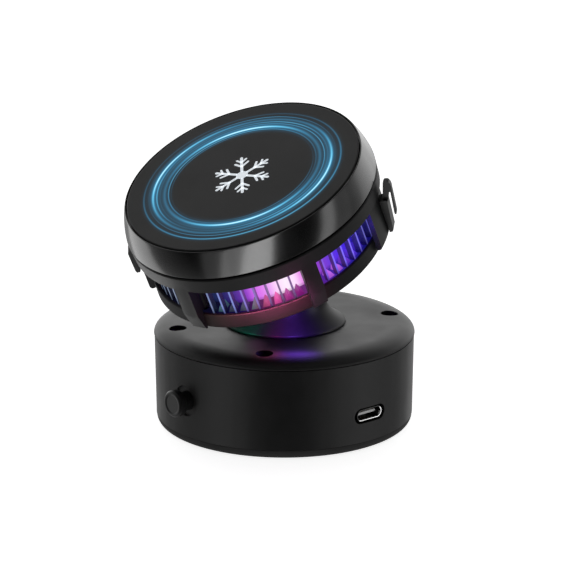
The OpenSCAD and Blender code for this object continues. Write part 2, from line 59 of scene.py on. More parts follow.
# ------------------------------------------------------------------ node helpers
class Mat:
    """A Principled material with short helpers for building its pattern."""

    def __init__(self, name):
        self.m = bpy.data.materials.new(name)
        self.m.use_nodes = True
        self.t = self.m.node_tree
        self.p = next(n for n in self.t.nodes if n.type == "BSDF_PRINCIPLED")

    def node(self, kind, **props):
        n = self.t.nodes.new(kind)
        for k, v in props.items():
            setattr(n, k, v)
        return n

    def link(self, a, b):
        self.t.links.new(a, b)

    def set(self, **values):
        for k, v in values.items():
            s = self.p.inputs[k.replace("_", " ")]
            s.default_value = v
        return self

    def coords(self, matrix=None):
        """Object coordinates, or those of a placed frame of the part."""
        tc = self.node("ShaderNodeTexCoord")
        if matrix is None:
            return tc.outputs["Object"]
        mp = self.node("ShaderNodeMapping", vector_type="TEXTURE")
        loc, rot, _ = matrix.decompose()
        mp.inputs["Location"].default_value = loc
        mp.inputs["Rotation"].default_value = rot.to_euler("XYZ")
        self.link(tc.outputs["Object"], mp.inputs["Vector"])
        return mp.outputs["Vector"]

    def noise(self, co, scale, detail=3.0, rough=0.55):
        n = self.node("ShaderNodeTexNoise")
        n.inputs["Scale"].default_value = scale
        n.inputs["Detail"].default_value = detail
        n.inputs["Roughness"].default_value = rough
        self.link(co, n.inputs["Vector"])
        return n.outputs["Fac"]

    def math(self, op, a, b=None, c=None, clamp=False):
        n = self.node("ShaderNodeMath", operation=op, use_clamp=clamp)
        for i, v in enumerate((a, b, c)):
            if v is None:
                continue
            if isinstance(v, (int, float)):
                n.inputs[i].default_value = v
            else:
                self.link(v, n.inputs[i])
        return n.outputs[0]

    def remap(self, v, a, b, c, d, smooth=False):
        n = self.node("ShaderNodeMapRange", interpolation_type="SMOOTHSTEP" if smooth else "LINEAR")
        n.inputs["From Min"].default_value = a
        n.inputs["From Max"].default_value = b
        n.inputs["To Min"].default_value = c
        n.inputs["To Max"].default_value = d
        self.link(v, n.inputs["Value"])
        return n.outputs["Result"]

    def ramp(self, v, stops, kind="LINEAR"):
        n = self.node("ShaderNodeValToRGB")
        n.color_ramp.interpolation = kind
        e = n.color_ramp.elements
        while len(e) < len(stops):
            e.new(0.5)
        for el, (pos, col) in zip(e, stops):
            el.position = pos
            el.color = (*col, 1.0)
        self.link(v, n.inputs["Fac"])
        return n.outputs["Color"]

    def mix(self, fac, a, b, blend="MIX"):
        n = self.node("ShaderNodeMix", data_type="RGBA", blend_type=blend)
        for s, v in ((n.inputs[0], fac), (n.inputs[6], a), (n.inputs[7], b)):
            if isinstance(v, (int, float)):
                s.default_value = v
            elif isinstance(v, (tuple, list)):
                s.default_value = (*v, 1.0)
            else:
                self.link(v, s)
        return n.outputs[2]

    def bump(self, height, distance, strength=1.0, normal=None):
        n = self.node("ShaderNodeBump")
        n.inputs["Strength"].default_value = strength
        n.inputs["Distance"].default_value = distance
        self.link(height, n.inputs["Height"])
        if normal is not None:
            self.link(normal, n.inputs["Normal"])
        return n.outputs["Normal"]

    def polar(self, co):
        """Radius, angle as 0..1 of a turn, and height of placed coordinates."""
        s = self.node("ShaderNodeSeparateXYZ")
        self.link(co, s.inputs[0])
        x, y, z = s.outputs
        r = self.math("SQRT", self.math("ADD", self.math("MULTIPLY", x, x), self.math("MULTIPLY", y, y)))
        a = self.math("ARCTAN2", y, x)
        turn = self.math("FRACT", self.math("ADD", self.math("DIVIDE", a, 2 * math.pi), 1.0))
        return r, turn, z


def moulded(name, dark, light, rough, spec, grain=0.16, depth=0.006, ior=1.5, coat=0.0, coat_rough=0.1):
    """Moulded plastic: fine spark-eroded grain, cloudy gloss and slight shade changes. grain and depth in mm."""
    k = Mat(name)
    co = k.coords()
    fine = k.noise(co, 1.0 / (grain * MM), 2.0, 0.6)
    cloud = k.noise(co, 90.0, 3.0)
    broad = k.noise(co, 28.0, 2.0)
    shade = k.math("ADD", k.math("MULTIPLY", fine, 0.35), k.math("MULTIPLY", cloud, 0.65))
    k.link(k.mix(k.remap(shade, 0.35, 0.65, 0.0, 1.0), dark, light), k.p.inputs["Base Color"])
    r = k.math("ADD", k.remap(cloud, 0.3, 0.7, -0.035, 0.035), k.remap(broad, 0.3, 0.7, -0.03, 0.03))
    k.link(k.math("ADD", r, rough), k.p.inputs["Roughness"])
    k.link(k.bump(fine, depth * MM, 0.7), k.p.inputs["Normal"])
    k.set(Specular_IOR_Level=spec, IOR=ior, Coat_Weight=coat, Coat_Roughness=coat_rough)
    return k.m


def metal(name, a, b, rough, grain=0.05, streak=(1.0, 1.0, 0.05), matrix=None):
    """Machined or drawn metal: streaks along one direction, stains and gloss changes."""
    k = Mat(name)
    co = k.coords(matrix)
    mp = k.node("ShaderNodeMapping")
    mp.inputs["Scale"].default_value = streak
    k.link(co, mp.inputs["Vector"])
    lines = k.noise(mp.outputs["Vector"], 1.0 / (grain * MM), 2.0, 0.7)
    stain = k.noise(co, 240.0, 4.0)
    k.link(k.mix(k.remap(stain, 0.3, 0.7, 0, 1), a, b), k.p.inputs["Base Color"])
    k.link(k.math("ADD", k.remap(lines, 0.3, 0.7, -0.07, 0.07), rough), k.p.inputs["Roughness"])
    k.link(k.bump(lines, 0.004 * MM, 0.5), k.p.inputs["Normal"])
    k.set(Metallic=1.0)
    return k.m


# ------------------------------------------------------------------ finishes
BLACK = moulded("moulded_black", (0.0040, 0.0040, 0.0042), (0.0070, 0.0070, 0.0073), 0.46, 0.40)
COVER = moulded("cover_black", (0.0050, 0.0050, 0.0052), (0.0090, 0.0090, 0.0093), 0.50, 0.42, grain=0.30, depth=0.022)
NECK_BLACK = moulded("neck_black", (0.0040, 0.0040, 0.0042), (0.0070, 0.0070, 0.0073), 0.40, 0.50, ior=1.14)
HOUSING = moulded("housing_black", (0.0060, 0.0060, 0.0063), (0.0100, 0.0100, 0.0104), 0.48, 0.34, grain=0.18)
HOOK_BLACK = moulded("hook_black", (0.006, 0.006, 0.0063), (0.0095, 0.0095, 0.010), 0.36, 0.42, grain=0.2, depth=0.003)
BUTTON = moulded("button_black", (0.007, 0.007, 0.0072), (0.011, 0.011, 0.0113), 0.36, 0.42, grain=0.2, depth=0.003)
RUBBER = moulded("silicone_black", (0.010, 0.010, 0.010), (0.018, 0.018, 0.018), 0.68, 0.25, grain=0.12, depth=0.008)
FAN = moulded("fan_smoked", (0.03, 0.03, 0.034), (0.05, 0.05, 0.055), 0.34, 0.5, grain=0.3, depth=0.003)
TONGUE = moulded("tongue_grey", (0.42, 0.42, 0.42), (0.52, 0.52, 0.52), 0.40, 0.45, grain=0.2, depth=0.003)
DARK = moulded("dark_moulding", (0.022, 0.022, 0.023), (0.036, 0.036, 0.037), 0.5, 0.4)
ACETAL = moulded("natural_acetal", (0.62, 0.62, 0.59), (0.72, 0.72, 0.69), 0.38, 0.45, grain=0.3, depth=0.003)
CERAMIC = moulded("alumina", (0.74, 0.74, 0.72), (0.82, 0.82, 0.80), 0.5, 0.4, grain=0.1, depth=0.004)
FOAM = moulded("foam", (0.03, 0.03, 0.032), (0.07, 0.07, 0.072), 0.9, 0.2, grain=0.5, depth=0.12)
WRAP = moulded("cell_wrap", (0.045, 0.10, 0.22), (0.06, 0.13, 0.27), 0.25, 0.5, grain=0.6, depth=0.01)
STEEL = metal("turned_steel", (0.50, 0.50, 0.52), (0.60, 0.60, 0.62), 0.30)
NICKEL = metal("nickel_plate", (0.70, 0.69, 0.68), (0.80, 0.79, 0.78), 0.18, streak=(1, 1, 0.3))
OXIDE = metal("black_oxide", (0.035, 0.035, 0.037), (0.060, 0.060, 0.062), 0.38)
ALU = metal("machined_aluminium", (0.70, 0.71, 0.73), (0.80, 0.81, 0.83), 0.30)
BRONZE = metal("bearing_bronze", (0.52, 0.36, 0.16), (0.66, 0.48, 0.24), 0.42)
COPPER = metal("enamelled_copper", (0.55, 0.24, 0.10), (0.70, 0.34, 0.16), 0.28)
GOLD = metal("contact_gold", (0.85, 0.60, 0.26), (0.92, 0.70, 0.34), 0.22)


def plate_material():
    """Plated inlet shell with painted light: painted highlights on the lower lip and the right side at the mouth,
    painted shade inside and in the upper corner. Heights from the inlet's axis.
    """
    k = Mat("inlet_plate")
    co = k.coords(PANEL)
    sep = k.node("ShaderNodeSeparateXYZ")
    k.link(co, sep.inputs[0])
    low = k.remap(sep.outputs[2], (10.3 - 0.9) * MM, (10.3 - 0.3) * MM, 1.0, 0.0, smooth=True)
    right = k.math("MULTIPLY", k.remap(sep.outputs[1], 3.2 * MM, 3.8 * MM, 0.0, 1.0, smooth=True),
                   k.remap(sep.outputs[2], (10.3 + 0.8) * MM, (10.3 + 1.4) * MM, 1.0, 0.0, smooth=True))
    low = k.math("MULTIPLY", low, k.remap(sep.outputs[1], -3.9 * MM, -3.2 * MM, 0.0, 1.0, smooth=True))
    mouth = k.remap(sep.outputs[0], 34.45 * MM, 34.85 * MM, 0.0, 1.0, smooth=True)
    # painted highlight mask: lower lip and right side, only near the mouth
    painted_highlight = k.math("MULTIPLY", k.math("MAXIMUM", low, right), mouth)
    n = k.noise(co, 900.0, 3.0)
    # bright plating for the painted highlight, near-black plating for the painted shade
    highlight_colour = k.mix(k.remap(n, 0.3, 0.7, 0, 1), (0.72, 0.72, 0.72), (0.86, 0.86, 0.85))
    shade_colour = k.mix(k.remap(n, 0.3, 0.7, 0, 1), (0.020, 0.020, 0.020), (0.045, 0.045, 0.044))
    k.link(k.mix(painted_highlight, shade_colour, highlight_colour), k.p.inputs["Base Color"])
    k.link(k.math("ADD", k.remap(n, 0.3, 0.7, -0.05, 0.05), 0.22), k.p.inputs["Roughness"])
    k.link(k.bump(n, 0.003 * MM, 0.5), k.p.inputs["Normal"])
    k.set(Metallic=1.0)
    return k.m


PLATE = plate_material()


def board(name, mask, copper):
    """Circuit board: solder mask over faint tracks, with bare pads."""
    k = Mat(name)
    co = k.coords()
    b = k.node("ShaderNodeTexBrick")
    b.inputs["Scale"].default_value = 420.0
    b.inputs["Mortar Size"].default_value = 0.03
    k.link(co, b.inputs["Vector"])
    v = k.node("ShaderNodeTexVoronoi")
    v.inputs["Scale"].default_value = 520.0
    k.link(co, v.inputs["Vector"])
    track = b.outputs["Fac"]
    lit = tuple(min(1.0, c * 1.7 + 0.01) for c in mask)
    col = k.mix(track, mask, lit)
    pad = k.math("LESS_THAN", v.outputs["Distance"], 0.12)
    k.link(k.mix(pad, col, copper), k.p.inputs["Base Color"])
    k.link(k.math("MULTIPLY", pad, 0.9), k.p.inputs["Metallic"])
    k.link(k.bump(track, 0.02 * MM, 0.6), k.p.inputs["Normal"])
    k.set(Roughness=0.34, Specular_IOR_Level=0.5)
    return k.m


BOARD = board("board_green", (0.008, 0.075, 0.032), (0.75, 0.60, 0.34))
BOARD_BLACK = board("board_black", (0.012, 0.012, 0.014), (0.55, 0.55, 0.58))


def bezel_material():
    """Polished black ring: deep clear gloss over a dark metal-like body, with fine turned lines."""
    k = Mat("polished_black")
    co = k.coords(HEAD)
    r, turn, z = k.polar(co)
    lines = k.noise(co, 2600.0, 2.0)
    cloud = k.noise(co, 55.0, 2.0)
    k.link(k.mix(k.remap(cloud, 0.3, 0.7, 0, 1), (0.0010, 0.0010, 0.0011), (0.0022, 0.0022, 0.0023)), k.p.inputs["Base Color"])
    k.link(k.math("ADD", k.remap(cloud, 0.3, 0.7, -0.015, 0.015), 0.19), k.p.inputs["Roughness"])
    k.link(k.bump(lines, 0.0006 * MM, 0.3), k.p.inputs["Normal"])
    k.set(Specular_IOR_Level=1.0)
    return k.m


BEZEL = bezel_material()


def face_material():
    """Satin black panel with lit rings: radius and angle in the plane of the face set the light."""
    k = Mat("face_panel")
    co = k.coords(HEAD)
    r, turn, z = k.polar(co)
    rm = k.math("MULTIPLY", r, 1000.0)
    fine = k.noise(co, 5200.0, 2.0)
    cloud = k.noise(co, 70.0, 2.0)
    k.link(k.mix(k.remap(fine, 0.3, 0.7, 0, 1), (0.0070, 0.0070, 0.0073), (0.0115, 0.0115, 0.0119)), k.p.inputs["Base Color"])
    k.link(k.math("ADD", k.remap(cloud, 0.3, 0.7, -0.03, 0.03), 0.46), k.p.inputs["Roughness"])
    k.link(k.bump(fine, 0.003 * MM, 0.5), k.p.inputs["Normal"])
    k.set(Specular_IOR_Level=0.22)

    ang = k.math("MULTIPLY", turn, 2 * math.pi)

    def wave(n, phase, lo, hi, power=1.0):
        c = k.math("COSINE", k.math("ADD", k.math("MULTIPLY", ang, float(n)), phase))
        c = k.math("POWER", k.remap(c, -1, 1, 0, 1), power)
        return k.remap(c, 0, 1, lo, hi)

    def line(radius, width, soft=1.0):
        d = k.math("ABSOLUTE", k.math("SUBTRACT", rm, radius))
        g = k.math("DIVIDE", d, width)
        return k.math("EXPONENT", k.math("MULTIPLY", k.math("MULTIPLY", g, g), -1.0 * soft))

    def total(items):
        out = items[0]
        for i in items[1:]:
            out = k.math("ADD", out, i)
        return out

    # crisp light lines, each with its own brightness round the ring
    lines = [
        k.math("MULTIPLY", line(27.9, 0.21), wave(1, 0.6, 0.16, 1.0, 2.0)),
        k.math("MULTIPLY", line(26.5, 0.14), wave(2, 2.2, 0.05, 0.75, 2.0)),
        k.math("MULTIPLY", line(25.3, 0.36), wave(2, -0.4, 0.35, 1.6, 1.6)),
        k.math("MULTIPLY", line(24.2, 0.18), wave(3, 1.2, 0.15, 0.9, 1.2)),
        k.math("MULTIPLY", line(23.3, 0.13), wave(1, -1.2, 0.10, 0.8, 1.5)),
        k.math("MULTIPLY", line(22.0, 0.42), wave(2, 1.7, 0.32, 1.7, 1.8)),
        k.math("MULTIPLY", line(20.9, 0.17), wave(1, 3.4, 0.12, 0.9, 1.3)),
        k.math("MULTIPLY", line(20.1, 0.11), wave(2, 0.5, 0.04, 0.6, 2.0)),
    ]
    core = total(lines)
    # soft light around them
    glow = total([
        k.math("MULTIPLY", line(25.0, 1.5), wave(2, -0.4, 0.25, 0.9, 1.4)),
        k.math("MULTIPLY", line(22.2, 1.6), wave(2, 1.7, 0.25, 1.0, 1.5)),
        k.math("MULTIPLY", line(27.9, 0.7), wave(1, 0.6, 0.03, 0.30, 2.0)),
    ])
    top = k.remap(z, (FACE_H - 0.25) * MM, (FACE_H - 0.05) * MM, 0.0, 1.0)
    a = k.mix(1.0, k.mix(k.math("MULTIPLY", glow, 1.0, clamp=True), (0, 0, 0), (0.015, 0.130, 0.235)),
              k.ramp(k.math("MULTIPLY", core, 0.62, clamp=True),
                     [(0.0, (0, 0, 0)), (0.35, (0.020, 0.15, 0.27)), (0.75, (0.13, 0.52, 0.74)), (1.0, (0.66, 0.96, 1.0))]),
              "ADD")
    k.link(a, k.p.inputs["Emission Color"])
    k.link(k.math("MULTIPLY", top, 1.0), k.p.inputs["Emission Strength"])
    return k.m


FACE = face_material()


def icon_material():
    k = Mat("printed_white_painted_glow")
    co = k.coords()
    n = k.noise(co, 2500.0, 2.0)
    k.link(k.mix(k.remap(n, 0.3, 0.7, 0, 1), (0.74, 0.75, 0.76), (0.84, 0.85, 0.86)), k.p.inputs["Base Color"])
    k.link(k.math("ADD", k.remap(n, 0.3, 0.7, -0.05, 0.05), 0.5), k.p.inputs["Roughness"])
    # painted glow: the printed mark is given light of its own
    k.p.inputs["Emission Color"].default_value = (0.85, 0.93, 1.0, 1.0)
    k.p.inputs["Emission Strength"].default_value = 0.55
    return k.m


ICON = icon_material()

# colours of the lit ring behind the fins, by angle from the right-hand hook in degrees
WALL = [(0, (0.010, 0.008, 0.24)), (40, (0.02, 0.06, 0.40)), (95, (0.02, 0.20, 0.42)), (140, (0.06, 0.03, 0.42)), (200, (0.008, 0.024, 0.08)),
        (238, (0.006, 0.012, 0.06)), (245, (0.010, 0.018, 0.085)), (251, (0.018, 0.014, 0.12)), (257, (0.040, 0.020, 0.20)), (262, (0.11, 0.026, 0.34)),
        (267, (0.30, 0.055, 0.58)), (271, (0.60, 0.13, 0.83)), (276, (0.74, 0.20, 0.86)), (281, (0.82, 0.36, 0.92)), (285, (0.98, 0.64, 0.97)),
        (291, (1.0, 0.86, 1.0)), (297, (1.0, 0.72, 1.0)), (301, (0.86, 0.30, 0.86)), (308, (0.50, 0.10, 0.62)), (314, (0.26, 0.05, 0.60)),
        (320, (0.17, 0.045, 0.66)), (328, (0.10, 0.03, 0.78)), (337, (0.06, 0.022, 0.74)), (344, (0.03, 0.014, 0.45)), (352, (0.010, 0.008, 0.26))]
# painted highlight colours on the thin outer edges of the fins
EDGE = [(0, (0.05, 0.04, 0.30)), (60, (0.05, 0.10, 0.40)), (120, (0.05, 0.14, 0.42)), (200, (0.10, 0.16, 0.26)), (222, (0.21, 0.26, 0.36)),
        (250, (0.17, 0.22, 0.41)), (256, (0.17, 0.22, 0.56)), (262, (0.17, 0.22, 0.58)), (268, (0.22, 0.16, 0.60)), (275, (0.23, 0.13, 0.46)),
        (281, (0.20, 0.08, 0.29)), (287, (0.17, 0.08, 0.22)), (293, (0.18, 0.07, 0.25)), (305, (0.17, 0.07, 0.40)), (312, (0.20, 0.08, 0.72)),
        (318, (0.19, 0.12, 0.95)), (330, (0.19, 0.12, 0.95)), (336, (0.15, 0.12, 0.75)), (343, (0.12, 0.11, 0.48))]
# colours of the small prisms at the feet of the fins
CROWN = [(0, (0.010, 0.008, 0.16)), (60, (0.02, 0.05, 0.20)), (140, (0.03, 0.03, 0.22)), (200, (0.008, 0.012, 0.03)), (245, (0.008, 0.014, 0.03)),
         (253, (0.042, 0.100, 0.135)), (258, (0.030, 0.040, 0.07)), (264, (0.040, 0.040, 0.085)), (271, (0.12, 0.14, 0.185)), (276, (0.30, 0.055, 0.13)),
         (283, (0.78, 0.09, 0.37)), (289, (0.40, 0.035, 0.26)), (296, (0.24, 0.010, 0.20)), (305, (0.16, 0.02, 0.16)), (312, (0.46, 0.11, 0.78)),
         (320, (0.47, 0.12, 0.78)), (326, (0.13, 0.03, 0.58)), (335, (0.07, 0.025, 0.62)), (343, (0.02, 0.010, 0.30))]

# colours of the floor of the channel, between the prisms
FLOOR = [(0, (0.004, 0.004, 0.10)), (60, (0.006, 0.014, 0.09)), (140, (0.010, 0.010, 0.09)), (200, (0.003, 0.004, 0.015)), (245, (0.003, 0.003, 0.016)),
         (258, (0.006, 0.003, 0.045)), (265, (0.012, 0.004, 0.075)), (272, (0.09, 0.012, 0.09)), (280, (0.16, 0.012, 0.09)), (290, (0.20, 0.014, 0.16)),
         (297, (0.18, 0.014, 0.19)), (305, (0.12, 0.012, 0.20)), (312, (0.10, 0.02, 0.40)), (320, (0.05, 0.02, 0.42)), (330, (0.025, 0.015, 0.38)), (343, (0.008, 0.006, 0.18))]


def round_ramp(k, turn, stops):
    """Colour ramp round a full turn from stops in degrees."""
    return k.ramp(turn, [(a / 360.0, c) for a, c in stops] + [(1.0, stops[0][1])])


def lamp_colour(degrees):
    s = WALL + [(360, WALL[0][1])]
    for (p0, c0), (p1, c1) in zip(s, s[1:]):
        if p0 <= degrees <= p1:
            f = (degrees - p0) / (p1 - p0)
            return tuple(a + (b - a) * f for a, b in zip(c0, c1))
    return s[0][1]


def fin_material():
    """Dark anodised fins with painted light: painted highlights on the thin outer edges, sides painted with the light
    of the lit ring behind them, stronger towards the face.
    """
    k = Mat("lit_fins")
    co = k.coords(HOOK)
    r, turn, z = k.polar(co)
    grain = k.noise(co, 3000.0, 3.0)
    k.link(k.mix(k.remap(grain, 0.3, 0.7, 0, 1), (0.055, 0.060, 0.080), (0.085, 0.090, 0.115)), k.p.inputs["Base Color"])
    k.link(k.math("ADD", k.remap(grain, 0.3, 0.7, -0.06, 0.06), 0.40), k.p.inputs["Roughness"])
    k.link(k.bump(grain, 0.006 * MM, 0.5), k.p.inputs["Normal"])
    k.set(Metallic=0.3)
    # painted highlight on the outer edges of the fins, and painted light that grows towards the face
    edge_highlight = k.remap(r, 31.25 * MM, 31.34 * MM, 0.0, 1.0)
    painted_light_strength = k.remap(z, 16.4 * MM, 19.2 * MM, 0.40, 1.0, smooth=True)
    # painted light on the fin sides: the lit ring's colours, dimmed
    side = k.mix(1.0, round_ramp(k, turn, WALL), (0.10, 0.10, 0.16), "MULTIPLY")
    k.link(k.mix(edge_highlight, side, round_ramp(k, turn, EDGE)), k.p.inputs["Emission Color"])
    k.link(painted_light_strength, k.p.inputs["Emission Strength"])
    return k.m


FINS = fin_material()


def guide_material():
    """Milky light guide: a lit ring, darker towards its foot, and a crown of faintly lit prisms."""
    k = Mat("light_guide")
    co = k.coords(HOOK)
    r, turn, z = k.polar(co)
    n = k.noise(co, 1400.0, 2.0)
    k.link(k.mix(k.remap(n, 0.3, 0.7, 0, 1), (0.030, 0.030, 0.036), (0.046, 0.046, 0.054)), k.p.inputs["Base Color"])
    k.link(k.math("ADD", k.remap(n, 0.3, 0.7, -0.05, 0.05), 0.35), k.p.inputs["Roughness"])
    k.link(k.bump(n, 0.004 * MM, 0.4), k.p.inputs["Normal"])
    ring = k.remap(r, 26.1 * MM, 26.4 * MM, 1.0, 0.0)
    tall = k.remap(z, 15.9 * MM, 17.0 * MM, 0.62, 1.0, smooth=True)
    tooth = k.remap(z, 16.2 * MM, 18.4 * MM, 0.75, 1.15, smooth=True)
    raised = k.remap(z, 16.11 * MM, 16.22 * MM, 0.0, 1.0)
    shape = k.mix(raised, round_ramp(k, turn, FLOOR), round_ramp(k, turn, CROWN))
    k.link(k.mix(ring, shape, round_ramp(k, turn, WALL)), k.p.inputs["Emission Color"])
    k.link(k.math("ADD", k.math("MULTIPLY", ring, tall), k.math("MULTIPLY", k.math("SUBTRACT", 1.0, ring), tooth)), k.p.inputs["Emission Strength"])
    k.set(Specular_IOR_Level=0.10)
    return k.m


GUIDE = guide_material()


def lens_material():
    k = Mat("lamp_lens")
    co = k.coords(HOOK)
    r, turn, z = k.polar(co)
    n = k.noise(co, 900.0, 2.0)
    k.link(k.mix(k.remap(n, 0.3, 0.7, 0, 1), (0.80, 0.82, 0.88), (0.92, 0.93, 0.96)), k.p.inputs["Base Color"])
    k.link(k.math("ADD", k.remap(n, 0.3, 0.7, -0.03, 0.03), 0.2), k.p.inputs["Roughness"])
    k.link(k.mix(0.3, round_ramp(k, turn, WALL), (1, 1, 1)), k.p.inputs["Emission Color"])
    k.p.inputs["Emission Strength"].default_value = 1.5
    return k.m


LENS = lens_material()

FINISH = {
    "base_shell": BLACK, "base_cover": COVER, "cover_screws": OXIDE, "suction_pad": RUBBER, "pad_clamp_ring": STEEL,
    "pump_motor": STEEL, "pump_head": ACETAL, "pump_diaphragm": RUBBER, "pump_shaft": STEEL, "air_hose": ACETAL,
    "battery": WRAP, "control_board": BOARD, "usb_c_shell": PLATE, "usb_c_tongue": TONGUE, "tact_switch": DARK,
    "power_button": BUTTON, "button_spring": STEEL, "neck_post": NECK_BLACK, "neck_screws": STEEL, "socket_collar": HOUSING,
    "socket_liner": ACETAL, "ball_stud": NICKEL, "stud_clip": OXIDE, "face_plate": FACE, "bezel_ring": BEZEL,
    "magnet_ring": NICKEL, "charging_coil": COPPER, "ferrite_sheet": DARK, "cold_plate": ALU, "cooling_module": CERAMIC,
    "foam_frame": FOAM, "driver_board": BOARD, "heat_sink": FINS, "led_board": BOARD_BLACK, "led_lenses": LENS, "light_guide": GUIDE,
    "fan_mount": DARK, "fan_bearing": BRONZE, "fan_stator": COPPER, "fan_shaft": STEEL, "fan_rotor": FAN,
    "rotor_magnet": DARK, "rear_housing": HOUSING, "rear_cover": HOUSING, "rear_screws": OXIDE,
    "hook_right": HOOK_BLACK, "hook_left": HOOK_BLACK,
}
# rounding of the edges of each node, in mm
ROUND = {"base_shell": 0.25, "base_cover": 0.22, "neck_post": 0.25, "rear_housing": 0.22, "rear_cover": 0.2, "bezel_ring": 0.14,
         "face_plate": 0.12, "hook_right": 0.22, "hook_left": 0.22, "power_button": 0.16, "suction_pad": 0.2, "usb_c_shell": 0.08,
         "heat_sink": 0.05, "led_lenses": 0.03, "light_guide": 0.05, "button_spring": 0.0, "charging_coil": 0.03, "fan_rotor": 0.12}


def edge_groups():
    """Two small geometry groups: one drops the imported normals, one shades smooth with crisp edges."""
    out = []
    for name in ("plain_normals", "smooth_by_angle"):
        g = bpy.data.node_groups.new(name, "GeometryNodeTree")
        g.interface.new_socket("Geometry", in_out="INPUT", socket_type="NodeSocketGeometry")
        g.interface.new_socket("Geometry", in_out="OUTPUT", socket_type="NodeSocketGeometry")
        i, o = g.nodes.new("NodeGroupInput"), g.nodes.new("NodeGroupOutput")
        if name == "plain_normals":
            r = g.nodes.new("GeometryNodeRemoveAttribute")
            r.inputs["Name"].default_value = "custom_normal"
            g.links.new(i.outputs[0], r.inputs[0])
            g.links.new(r.outputs[0], o.inputs[0])
        else:
            f = g.nodes.new("GeometryNodeSetShadeSmooth")
            f.domain = "FACE"
            e = g.nodes.new("GeometryNodeSetShadeSmooth")
            e.domain = "EDGE"
            ang = g.nodes.new("GeometryNodeInputMeshEdgeAngle")
            cmp = g.nodes.new("FunctionNodeCompare")
            cmp.data_type, cmp.operation = "FLOAT", "LESS_THAN"
            cmp.inputs[1].default_value = math.radians(38)
            g.links.new(ang.outputs["Unsigned Angle"], cmp.inputs[0])
            g.links.new(i.outputs[0], f.inputs[0])
            g.links.new(f.outputs[0], e.inputs[0])
            g.links.new(cmp.outputs[0], e.inputs["Shade Smooth"])
            g.links.new(e.outputs[0], o.inputs[0])
        out.append(g)
    return out


PLAIN, SMOOTH = edge_groups()


def rounded(o, width, segments=2):
    """Softens the edges of a CAD node and shades it smooth."""
    o.modifiers.new("plain", "NODES").node_group = PLAIN
    w = o.modifiers.new("weld", "WELD")
    w.merge_threshold = 1e-6
    d = o.modifiers.new("planar", "DECIMATE")
    d.decimate_type = "DISSOLVE"
    d.angle_limit = 0.006
    if width:
        b = o.modifiers.new("edges", "BEVEL")
        b.width = width * MM
        b.segments = segments
        b.limit_method = "ANGLE"
        b.angle_limit = 0.5
        b.miter_outer = "MITER_ARC"
    o.modifiers.new("shade", "NODES").node_group = SMOOTH
    n = o.modifiers.new("normals", "WEIGHTED_NORMAL")
    n.mode = "FACE_AREA"
    n.weight = 50
    n.keep_sharp = True


for name, o in N.items():
    o.data.materials.clear()
    o.data.materials.append(FINISH[name])
    rounded(o, ROUND.get(name, 0.1))


# ------------------------------------------------------------------ added pieces
def piece(name, bm, matrix, material, body, bevel=0.0, segments=2):
    me = bpy.data.meshes.new(name)
    bmesh.ops.recalc_face_normals(bm, faces=bm.faces)
    bm.to_mesh(me)
    bm.free()
    me.materials.append(material)
    o = bpy.data.objects.new(name, me)
    scene.collection.objects.link(o)
    o.matrix_world = matrix
    if bevel:
        b = o.modifiers.new("edges", "BEVEL")
        b.width = bevel * MM
        b.segments = segments
        b.limit_method = "ANGLE"
        b.angle_limit = 0.5
    o.modifiers.new("shade", "NODES").node_group = SMOOTH
    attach(o, body)
    return o


def prism(bm, pts, z0, z1):
    """Closed prism over a plane outline, in mm."""
    lo = [bm.verts.new((x * MM, y * MM, z0 * MM)) for x, y in pts]
    hi = [bm.verts.new((x * MM, y * MM, z1 * MM)) for x, y in pts]
    bm.faces.new(list(reversed(lo)))
    bm.faces.new(hi)
    for i in range(len(pts)):
        j = (i + 1) % len(pts)
        bm.faces.new((lo[i], lo[j], hi[j], hi[i]))


def bar(p, q, w):
    """Outline of a bar with round ends from p to q."""
    d = (Vector(q) - Vector(p)).normalized()
    a0 = math.atan2(d.y, d.x)
    out = []
    for c, s in ((q, -90), (p, 90)):
        for i in range(7):
            a = a0 + math.radians(s + 180 * i / 6)
            out.append((c[0] + w / 2 * math.cos(a), c[1] + w / 2 * math.sin(a)))
    return out


def snowflake():
    """Plain six-armed frost mark, printed on the centre of the face."""
    bm = bmesh.new()
    z0, z1 = FACE_H - 0.02, FACE_H + 0.05
    for i in range(6):
        rot = Matrix.Rotation(math.radians(60 * i + 12), 2)
        turn = lambda v: tuple(rot @ Vector(v))
        for p, q, w in (((1.9, 0), (8.3, 0), 0.82), ((4.1, 0), (5.9, 1.8), 0.66), ((4.1, 0), (5.9, -1.8), 0.66),
                        ((6.2, 0), (7.5, 1.3), 0.60), ((6.2, 0), (7.5, -1.3), 0.60)):
            prism(bm, bar(turn(p), turn(q), w), z0, z1)
    prism(bm, [(1.9 * math.cos(math.radians(60 * i + 12)), 1.9 * math.sin(math.radians(60 * i + 12))) for i in range(6)], z0, z1)
    return piece("face_frost_mark", bm, HEAD, ICON, "head")


snowflake()


def inlet_contacts():
    """Plated contact strips on both sides of the inlet's tongue."""
    bm = bmesh.new()
    for side in (-1, 1):
        for i in range(12):
            y = -2.75 + 0.5 * i
            long = i in (0, 3, 8, 11)
            x0, x1 = 30.2, 33.55 if long else 33.2
            z0, z1 = sorted((side * 0.34, side * 0.385))
            prism(bm, [(x0, y - 0.14), (x1, y - 0.14), (x1, y + 0.14), (x0, y + 0.14)], z0 + 10.3, z1 + 10.3)
    return piece("inlet_contacts", bm, PANEL, GOLD, "base")


inlet_contacts()


